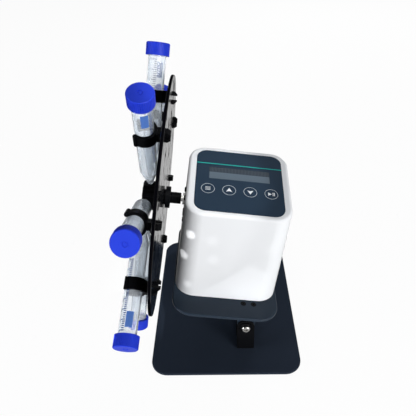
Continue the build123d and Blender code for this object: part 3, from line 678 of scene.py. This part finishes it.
# %% [markdown]
# ## Geometry Nodes for what repeats
# Rings, ticks and patches all follow a rule. Loops in Python could lay their faces one by one,
# but a small node tree with named inputs says the rule itself and can be opened and tried by
# hand. The tree is evaluated once and kept as a plain mesh, set in place in its vertices.

# %% Running a tree
def new_tree(name, inputs):
    """Geometry tree with named inputs (label: (kind, default)) and one geometry output."""
    tree = bpy.data.node_groups.new(name, "GeometryNodeTree")
    tree.interface.new_socket("Geometry", in_out="OUTPUT", socket_type="NodeSocketGeometry")
    for label, (kind, default) in inputs.items():
        socket = tree.interface.new_socket(label, in_out="INPUT",
                                           socket_type=f"NodeSocket{kind}")
        if default is not None:
            socket.default_value = default
    return tree, tree.nodes.new("NodeGroupInput"), tree.nodes.new("NodeGroupOutput")


def finish_tree(tree, geometry, start, end):
    """Ends a tree in Realize Instances and Set Material."""
    solid = tree.nodes.new("GeometryNodeRealizeInstances")
    painted = tree.nodes.new("GeometryNodeSetMaterial")
    wire(tree,
         (geometry, solid.inputs["Geometry"]),
         (solid.outputs["Geometry"], painted.inputs["Geometry"]),
         (start.outputs["Material"], painted.inputs["Material"]),
         (painted.outputs["Geometry"], end.inputs["Geometry"]))


def grow(tree, place, **values):
    """Plain mesh that a tree gives for these inputs, set in its place."""
    holder = bpy.data.objects.new("holder", bpy.data.meshes.new("holder"))
    bpy.context.scene.collection.objects.link(holder)
    modifier = holder.modifiers.new("grow", "NODES")
    modifier.node_group = tree
    for item in tree.interface.items_tree:
        if item.in_out == "INPUT" and item.name.replace(" ", "_") in values:
            modifier[item.identifier] = values[item.name.replace(" ", "_")]
    bpy.context.view_layer.update()
    evaluated = holder.evaluated_get(bpy.context.evaluated_depsgraph_get())
    mesh = bpy.data.meshes.new_from_object(evaluated)
    bpy.data.objects.remove(holder)
    mesh.transform(place)
    return mesh


print("helpers:", new_tree.__name__, finish_tree.__name__, grow.__name__)

# %% [markdown]
# Each key has a printed ring. Two discs could be cut from each other, but a thin rectangle
# that is swept round a circle gives the same band from three sizes.

# %% Tree: a printed ring
ring_steps = 64


def build_ring():
    tree, start, end = new_tree("printed_ring", {
        "Radius": ("Float", 0.007), "Line": ("Float", 0.0005), "Thickness": ("Float", 0.00003),
        "Material": ("Material", None)})
    circle = tree.nodes.new("GeometryNodeCurvePrimitiveCircle")
    circle.inputs["Resolution"].default_value = ring_steps
    section = tree.nodes.new("GeometryNodeCurvePrimitiveQuadrilateral")
    sweep = tree.nodes.new("GeometryNodeCurveToMesh")
    wire(tree,
         (start.outputs["Radius"], circle.inputs["Radius"]),
         (start.outputs["Line"], section.inputs["Width"]),
         (start.outputs["Thickness"], section.inputs["Height"]),
         (circle.outputs["Curve"], sweep.inputs["Curve"]),
         (section.outputs["Curve"], sweep.inputs["Profile Curve"]))
    finish_tree(tree, sweep.outputs["Mesh"], start, end)
    return tree


ring_tree = build_ring()
print("tree", ring_tree.name)

# %% [markdown]
# ## Print on the control panel
# A teal rule crosses the film below its bare top strip. Each key has a light ring and a sign:
# three bars for the menu, arrows up and down, and a start and pause sign. All of them could be
# one print on the film, but then the keys would slide under it: the marks on a key ride on
# that key, so they sink with it when it is pressed.

# %% The teal rule
rule_up = 22.3 * millimetre
rule_width = 1.3 * millimetre
film_low, film_high = span("control_overlay", panel, 0)
rule = slab([(film_low, rule_up), (film_high, rule_up), (film_high, rule_up + rule_width),
             (film_low, rule_up + rule_width)], ink_height)
rule.transform(panel)
keep(rule, "teal_rule", "head", ink_teal, "panel_navy")
print("rule", round((film_high - film_low) / millimetre, 1), "mm long")

# %% Key rings and signs
ring_line = 0.42 * millimetre
ring_inset = 0.35 * millimetre
tip_depth = 0.05 * millimetre


def bar(left, bottom, right, top):
    """Outline of an upright rectangle."""
    return [(left, bottom), (right, bottom), (right, top), (left, top)]


# Outlines in millimetres from the middle of the key, the panel's foot at the bottom
key_signs = {
    "key_menu": [bar(-2.6, low, 2.6, low + 0.7) for low in (-2.05, -0.35, 1.35)],
    "key_up_arrow": [[(-3.1, -2.2), (0, -1.3), (3.1, -2.2), (0, 3.1)]],
    "key_down_arrow": [[(-3.1, 2.2), (0, -3.1), (3.1, 2.2), (0, 1.3)]],
    "key_start": [[(-3.2, -2.2), (0.5, 0), (-3.2, 2.2)], bar(1.3, -2.2, 2.1, 2.2),
                  bar(2.7, -2.2, 3.5, 2.2)],
}
for key, signs in key_signs.items():
    face = centred(panel, key, 1)
    tip = [vertex.co for vertex in nodes[key].data.vertices
           if (face.inverted() @ vertex.co).z > -tip_depth]
    cap_radius = max((face.inverted() @ point).xy.length for point in tip)
    ring = grow(ring_tree, face @ Matrix.Translation((0, 0, ink_height / 2)),
                Radius=cap_radius - ring_inset, Line=ring_line, Thickness=ink_height,
                Material=ink_light)
    keep(ring, f"{key}_ring", key, ink_light, "panel_navy")
    for count, outline in enumerate(signs, start=1):
        sign = slab([(x * millimetre, y * millimetre) for x, y in outline], ink_height)
        sign.transform(face)
        keep(sign, f"{key}_sign_{count}", key, ink_white, "panel_navy")
print("marks on", len(key_signs), "keys")

# %% [markdown]
# ## Scales on the tubes
# A sample tube is printed before its cap goes on: a column of ticks with plain numbers for the
# volume, and a solid patch to write on. The print lies flat on a screen and the tube rolls
# over it, so the lesson does the same: each mark is laid out flat and then rolled round the
# tube. A Curve or a Shrinkwrap modifier could bend it too, but a formula keeps every distance
# exact. Ticks and patches come from one node tree each, which share the rolling as a group.

# %% Group: rolling a flat print round a tube
def build_roll():
    """Group that turns X into an angle round the Z axis and Y into depth below the radius."""
    tree = bpy.data.node_groups.new("roll_round", "GeometryNodeTree")
    for label, kind in (("Geometry", "Geometry"), ("Radius", "Float")):
        tree.interface.new_socket(label, in_out="INPUT", socket_type=f"NodeSocket{kind}")
    tree.interface.new_socket("Geometry", in_out="OUTPUT", socket_type="NodeSocketGeometry")
    start = tree.nodes.new("NodeGroupInput")
    end = tree.nodes.new("NodeGroupOutput")
    flat = tree.nodes.new("GeometryNodeInputPosition")
    apart = tree.nodes.new("ShaderNodeSeparateXYZ")
    rolled = tree.nodes.new("ShaderNodeCombineXYZ")
    move = tree.nodes.new("GeometryNodeSetPosition")
    radius = start.outputs["Radius"]
    angle = number(tree, "DIVIDE", apart.outputs["X"], radius)
    reach = number(tree, "SUBTRACT", radius, apart.outputs["Y"])
    depth = number(tree, "MULTIPLY", reach, number(tree, "COSINE", angle))
    wire(tree,
         (flat.outputs["Position"], apart.inputs["Vector"]),
         (number(tree, "MULTIPLY", reach, number(tree, "SINE", angle)), rolled.inputs["X"]),
         (number(tree, "MULTIPLY", depth, -1.0), rolled.inputs["Y"]),
         (apart.outputs["Z"], rolled.inputs["Z"]),
         (start.outputs["Geometry"], move.inputs["Geometry"]),
         (rolled.outputs["Vector"], move.inputs["Position"]),
         (move.outputs["Geometry"], end.inputs["Geometry"]))
    return tree


roll_group = build_roll()
print("group", roll_group.name)


def roll(tree, geometry, radius):
    """Sends a flat print through the rolling group; gives the rolled geometry."""
    node = tree.nodes.new("GeometryNodeGroup")
    node.node_tree = roll_group
    wire(tree, (geometry, node.inputs["Geometry"]), (radius, node.inputs["Radius"]))
    return node.outputs["Geometry"]


# %% [markdown]
# A scale is one short bar on a line of points. Bars modelled one by one would be slow to
# change. Here each bar's number, divided by the size of a group, says whether it is a long one,
# and every bar has a few steps across so that it can follow the round wall.

# %% Tree: a column of ticks, every fifth one long
tick_steps = 7


def build_ticks():
    tree, start, end = new_tree("tube_ticks", {
        "Radius": ("Float", 0.0084), "Height": ("Float", 0.06), "Count": ("Int", 31),
        "Long": ("Float", 0.006), "Short": ("Float", 0.003), "Line": ("Float", 0.0003),
        "Thickness": ("Float", 0.00003), "Group": ("Int", 5), "Material": ("Material", None)})
    top = tree.nodes.new("ShaderNodeCombineXYZ")
    column = tree.nodes.new("GeometryNodeMeshLine")
    column.mode = "END_POINTS"
    size = tree.nodes.new("ShaderNodeCombineXYZ")
    size.inputs["X"].default_value = 1
    tick = tree.nodes.new("GeometryNodeMeshCube")
    tick.inputs["Vertices X"].default_value = tick_steps
    # Half its own width aside, so that a tick grows from one side only
    aside = tree.nodes.new("GeometryNodeTransform")
    aside.inputs["Translation"].default_value = (0.5, 0, 0)
    tick_index = tree.nodes.new("GeometryNodeInputIndex")
    place_in_group = number(tree, "MODULO", tick_index.outputs["Index"],
                            start.outputs["Group"])
    is_short = number(tree, "GREATER_THAN", place_in_group, 0.5)
    shorter = number(tree, "SUBTRACT", start.outputs["Long"], start.outputs["Short"])
    length = number(tree, "SUBTRACT", start.outputs["Long"],
                    number(tree, "MULTIPLY", shorter, is_short))
    stretch = tree.nodes.new("ShaderNodeCombineXYZ")
    stretch.inputs["Y"].default_value = 1
    stretch.inputs["Z"].default_value = 1
    copies = tree.nodes.new("GeometryNodeInstanceOnPoints")
    loose = tree.nodes.new("GeometryNodeRealizeInstances")
    wire(tree,
         (start.outputs["Height"], top.inputs["Z"]),
         (start.outputs["Count"], column.inputs["Count"]),
         (top.outputs["Vector"], column.inputs["Offset"]),
         (start.outputs["Thickness"], size.inputs["Y"]),
         (start.outputs["Line"], size.inputs["Z"]),
         (size.outputs["Vector"], tick.inputs["Size"]),
         (tick.outputs["Mesh"], aside.inputs["Geometry"]),
         (length, stretch.inputs["X"]),
         (column.outputs["Mesh"], copies.inputs["Points"]),
         (aside.outputs["Geometry"], copies.inputs["Instance"]),
         (stretch.outputs["Vector"], copies.inputs["Scale"]),
         (copies.outputs["Instances"], loose.inputs["Geometry"]))
    finish_tree(tree, roll(tree, loose.outputs["Geometry"], start.outputs["Radius"]), start,
                end)
    return tree


ticks_tree = build_ticks()
print("tree", ticks_tree.name)

# %% [markdown]
# The patch is a plain matt rectangle that takes a pen. A single face would cut through the
# tube, so the sheet has enough steps across to lie on the wall.

# %% Tree: a solid patch to write on
patch_steps = 17


def build_patch():
    tree, start, end = new_tree("tube_patch", {
        "Radius": ("Float", 0.0084), "Width": ("Float", 0.009), "Height": ("Float", 0.02),
        "Thickness": ("Float", 0.00003), "Material": ("Material", None)})
    size = tree.nodes.new("ShaderNodeCombineXYZ")
    sheet = tree.nodes.new("GeometryNodeMeshCube")
    sheet.inputs["Vertices X"].default_value = patch_steps
    wire(tree,
         (start.outputs["Width"], size.inputs["X"]),
         (start.outputs["Thickness"], size.inputs["Y"]),
         (start.outputs["Height"], size.inputs["Z"]),
         (size.outputs["Vector"], sheet.inputs["Size"]))
    finish_tree(tree, roll(tree, sheet.outputs["Mesh"], start.outputs["Radius"]), start, end)
    return tree


patch_tree = build_patch()
print("tree", patch_tree.name)

# %% [markdown]
# Numbers stand beside the long ticks. A String to Curves node could set them in the tree, but a
# text object also lets its strokes be made heavier. It is made a mesh, and its vertices are
# rolled by the same formula.

# %% Plain numbers, drawn as text and rolled like the ticks
digit_size = 3.2 * millimetre
digit_weight = 0.06 * millimetre
tick_count, tick_group = 36, 5
scale_height = 66 * millimetre
long_tick, short_tick = 5.2 * millimetre, 2.8 * millimetre
tick_line = 0.9 * millimetre
digit_gap = 0.7 * millimetre


def rolled_digits(text, left, height, radius):
    """Vertices and faces of a number, its middle at a height, rolled round a tube."""
    curve = bpy.data.curves.new("digits", "FONT")
    curve.body = text
    curve.size = digit_size
    curve.align_y = "CENTER"
    curve.extrude = ink_height / 2
    curve.offset = digit_weight
    curve.resolution_u = 2
    holder = bpy.data.objects.new("digits", curve)
    bpy.context.scene.collection.objects.link(holder)
    mesh = bpy.data.meshes.new_from_object(
        holder.evaluated_get(bpy.context.evaluated_depsgraph_get()))
    bpy.data.objects.remove(holder)
    for vertex in mesh.vertices:
        angle = (vertex.co.x + left) / radius
        reach = radius + vertex.co.z
        vertex.co = (reach * math.sin(angle), -reach * math.cos(angle), vertex.co.y + height)
    return mesh


def joined(name, meshes):
    """One mesh out of several."""
    work = bmesh.new()
    for mesh in meshes:
        work.from_mesh(mesh)
        bpy.data.meshes.remove(mesh)
    whole = bpy.data.meshes.new(name)
    work.to_mesh(whole)
    work.free()
    return whole


print("scale", round(scale_height / millimetre), "mm high with", tick_count, "ticks")

# %% [markdown]
# A tube is dropped into its clip at any turn, so every print has its own angle. The place is
# the frame of the joint that the tube's cap turns on, and the radius is measured on the tube
# itself, so that the ink lies on the wall. Copies of one print would all face the same way.

# %% Printing every tube
# Degrees round each tube, counted from the side that faces the disc
print_turn = {"tube_1": 215, "tube_2": -45, "tube_3": 95, "tube_4": 66, "tube_7": 235,
              "tube_8": 112}
scale_top = 13 * millimetre
patch_width, patch_height = 6.5 * millimetre, 14 * millimetre
patch_drop = 22.5 * millimetre
patch_turn = math.radians(-26)
number_step = 2
disc_away = Vector(joints["rotor_spin"]["axis"])
if disc_away.x > 0:
    disc_away = -disc_away

for tube, degrees in print_turn.items():
    cap_joint = joints[tube.replace("tube_", "cap_") + "_turn"]
    place = axis_frame(cap_joint["pos_m"], cap_joint["axis"], disc_away.cross(
        Vector(cap_joint["axis"])))
    place = place @ Matrix.Rotation(math.radians(degrees), 4, "Z")
    top = span(tube, place, 2)[1]
    wall = max((place.inverted() @ vertex.co).xy.length
               for vertex in nodes[tube].data.vertices)
    radius = wall + ink_height
    scale_foot = place @ Matrix.Translation((0, 0, top - scale_top - scale_height))
    ticks = grow(ticks_tree, Matrix.Identity(4), Radius=radius, Height=scale_height,
                 Count=tick_count, Long=long_tick, Short=short_tick, Line=tick_line,
                 Thickness=ink_height, Group=tick_group, Material=ink_scale)
    digits = [rolled_digits(str(number_step * (index + 1)), long_tick + digit_gap,
                            index * scale_height * tick_group / (tick_count - 1), radius)
              for index in range((tick_count - 1) // tick_group + 1)]
    scale = joined(f"{tube}_scale", [ticks, *digits])
    scale.transform(scale_foot)
    keep(scale, f"{tube}_scale", body_of[tube], ink_scale, "tube_clear")
    patch = grow(patch_tree, place @ Matrix.Translation((0, 0, top - patch_drop))
                 @ Matrix.Rotation(patch_turn, 4, "Z"),
                 Radius=radius, Width=patch_width, Height=patch_height,
                 Thickness=ink_height, Material=ink_patch)
    keep(patch, f"{tube}_patch", body_of[tube], ink_patch, "tube_clear")
    print(tube, "printed at radius", round(radius / millimetre, 2), "mm")

# %% [markdown]
# ## Studio
# A plain pale sweep and soft light. More lamps would make the floor white and burn out the
# housing with it. So the floor is lit like any surface and keeps the machine's shadow, but it
# also glows white for the camera and through clear plastic. Mirrors see that white on the
# right and a dark wall on the left, as with a black flag in a studio, which keeps the left
# side of the head deep. The lamps stay at a plain level.

# %% World and floor
mirrored_dark, mirrored_white = 0.08, 0.61
dark_until, white_from = -0.3, -0.02
floor_bounce = 0.08
plain_white = (1, 1, 1, 1)


def seen_white(tree, place):
    """1 for camera and see-through rays, less for mirrored ones, 0 for rays of light.

    What mirrors see runs from dark to white along X: a direction in the world's coordinates,
    metres in the floor's own.
    """
    path = tree.nodes.new("ShaderNodeLightPath")
    direct = number(tree, "MAXIMUM", path.outputs["Is Camera Ray"],
                    path.outputs["Is Transmission Ray"])
    where = tree.nodes.new("ShaderNodeTexCoord")
    apart = tree.nodes.new("ShaderNodeSeparateXYZ")
    wire(tree, (where.outputs[place], apart.inputs["Vector"]))
    wall = eased(tree, apart.outputs["X"], dark_until, white_from, mirrored_dark,
                 mirrored_white)
    mirrored = number(tree, "MULTIPLY", path.outputs["Is Glossy Ray"], wall)
    return number(tree, "MAXIMUM", direct, mirrored)


world = bpy.data.worlds.new("studio")
world.use_nodes = True
bpy.context.scene.world = world
sky = world.node_tree.nodes["Background"]
room_light = 0.045
room_colour = (0.62, 0.83, 1.1, 1)
seen = seen_white(world.node_tree, "Generated")
tone = world.node_tree.nodes.new("ShaderNodeMix")
tone.data_type = "RGBA"
tone.inputs[mix_first].default_value = room_colour
tone.inputs[mix_second].default_value = plain_white
wire(world.node_tree,
     (number(world.node_tree, "CEIL", seen), tone.inputs[0]),
     (tone.outputs[mix_result], sky.inputs["Color"]),
     (number(world.node_tree, "MAXIMUM", seen, room_light), sky.inputs["Strength"]))

floor_half = 6.0
sweep = bpy.data.meshes.new("floor")
sweep.from_pydata([(-floor_half, -floor_half, 0), (floor_half, -floor_half, 0),
                   (floor_half, floor_half, 0), (-floor_half, floor_half, 0)], [],
                  [(0, 1, 2, 3)])
floor = bpy.data.objects.new("floor", sweep)
bpy.context.scene.collection.objects.link(floor)

paper = bpy.data.materials.new("paper")
paper.use_nodes = True
paper_tree = paper.node_tree
paper_tree.nodes.clear()
lit = paper_tree.nodes.new("ShaderNodeBsdfDiffuse")
glow = paper_tree.nodes.new("ShaderNodeEmission")
glow_share = 0.955
mix = paper_tree.nodes.new("ShaderNodeMixShader")
result = paper_tree.nodes.new("ShaderNodeOutputMaterial")
seen = seen_white(paper_tree, "Object")
floor_tone = number(paper_tree, "MAXIMUM", seen, floor_bounce)
share = number(paper_tree, "MULTIPLY", number(paper_tree, "CEIL", seen), glow_share)
wire(paper_tree,
     (floor_tone, lit.inputs["Color"]),
     (seen, glow.inputs["Strength"]),
     (share, mix.inputs[0]),
     (lit.outputs[0], mix.inputs[1]),
     (glow.outputs[0], mix.inputs[2]),
     (mix.outputs[0], result.inputs["Surface"]))
sweep.materials.append(paper)
print("floor", round(2 * floor_half), "m wide")

# %% [markdown]
# Four large lamps give the plain light: a key on the right, a fill on the left, and weak top
# and back lamps that lift the edges. A point lamp would do for brightness, but the size of a
# lamp sets how soft its shadows are. The top and back lamps leave no highlight, so that the
# glossy disc doesn't mirror them.

# %% Lamps
fill_tint = (0.92, 0.96, 1.0)
machine_middle = (cad_box[0] + cad_box[1]) / 2


def soft_lamp(name, place, side, power, mirrored=True):
    """Square area lamp that faces the machine; an unmirrored one leaves no highlight."""
    data = bpy.data.lights.new(name, "AREA")
    data.shape = "SQUARE"
    data.size = side
    data.energy = power
    lamp = bpy.data.objects.new(name, data)
    lamp.location = place
    lamp.visible_glossy = mirrored
    lamp.rotation_euler = (machine_middle - Vector(place)).to_track_quat("-Z", "Y").to_euler()
    bpy.context.scene.collection.objects.link(lamp)
    return lamp


soft_lamp("key", (1.0, -1.45, 0.5), 1.0, 35.5)
fill = soft_lamp("fill", (-1.65, -0.75, 0.2), 0.8, 38)
fill.data.color = fill_tint
soft_lamp("top", (0.3, 0.1, 1.9), 1.0, 1.2, mirrored=False)
soft_lamp("back", (0.5, 1.6, 1.0), 0.9, 11, mirrored=False)
print("four lamps")

# %% [markdown]
# Narrow spots do what the large lamps can't. Two whiten the haze of the tubes from the left,
# one lights the housing's crown, one puts a soft sheen on the right of its front, and the rest
# are small glints, as lamps behind a perforated screen leave them. Turning a spot by hand is
# fiddly, so each is given by its place, the point that it is aimed at and how wide its patch
# of light is there.

# %% Spots on the tubes and the housing
spot_radius = millimetre
# Place, target, width of the patch, power, softness of its edge
spots = {
    "tubes_low": ((-1.0, -0.75, 0.12), joints["cap_8_turn"]["pos_m"], 0.130, 9, 0.9),
    "tubes_high": ((-0.9, -0.55, 0.75), (-0.125, -0.035, 0.185), 0.110, 14, 0.9),
    "crown": ((0.25, -0.35, 1.4), (-0.027, -0.022, 0.19), 0.170, 27, 0.5),
    "sheen": ((0.35, -1.2, 0.5), (0.070, -0.07, 0.128), 0.150, 2.5, 0.3),
    "corner_high": ((-0.12, -0.7, 0.3), (-0.0322, -0.0658, 0.1645), 0.0034, 12, 0.6),
    "corner_middle": ((-0.12, -0.7, 0.3), (-0.0412, -0.0630, 0.1367), 0.0032, 12, 0.6),
    "corner_low": ((-0.3, -0.6, 0.3), (-0.0500, -0.0614, 0.0915), 0.0042, 14, 0.6),
    "foot": ((-0.12, -0.7, 0.3), (-0.0388, -0.0694, 0.1003), 0.0060, 4, 0.8),
    "front_high": ((0, -0.8, 0.35), (-0.0112, -0.0688, 0.1585), 0.0150, 2.2, 1.0),
    "front_low": ((0, -0.8, 0.35), (-0.0109, -0.0696, 0.1342), 0.0150, 2.2, 1.0),
}
for name, (place, target, width, power, softness) in spots.items():
    aim = Vector(target) - Vector(place)
    data = bpy.data.lights.new(name, "SPOT")
    data.energy = power
    data.spot_size = 2 * math.atan(width / 2 / aim.length)
    data.spot_blend = softness
    data.shadow_soft_size = spot_radius
    spot = bpy.data.objects.new(name, data)
    spot.location = place
    spot.rotation_euler = aim.to_track_quat("-Z", "Y").to_euler()
    bpy.context.scene.collection.objects.link(spot)
print(len(spots), "spots")

# %% [markdown]
# ## Sizes
# The box of the solid pieces, measured right after they were loaded, is printed at the end.

# %% Sizes, and the end
print("solid box", [tuple(round(v, 4) for v in corner) for corner in cad_box])
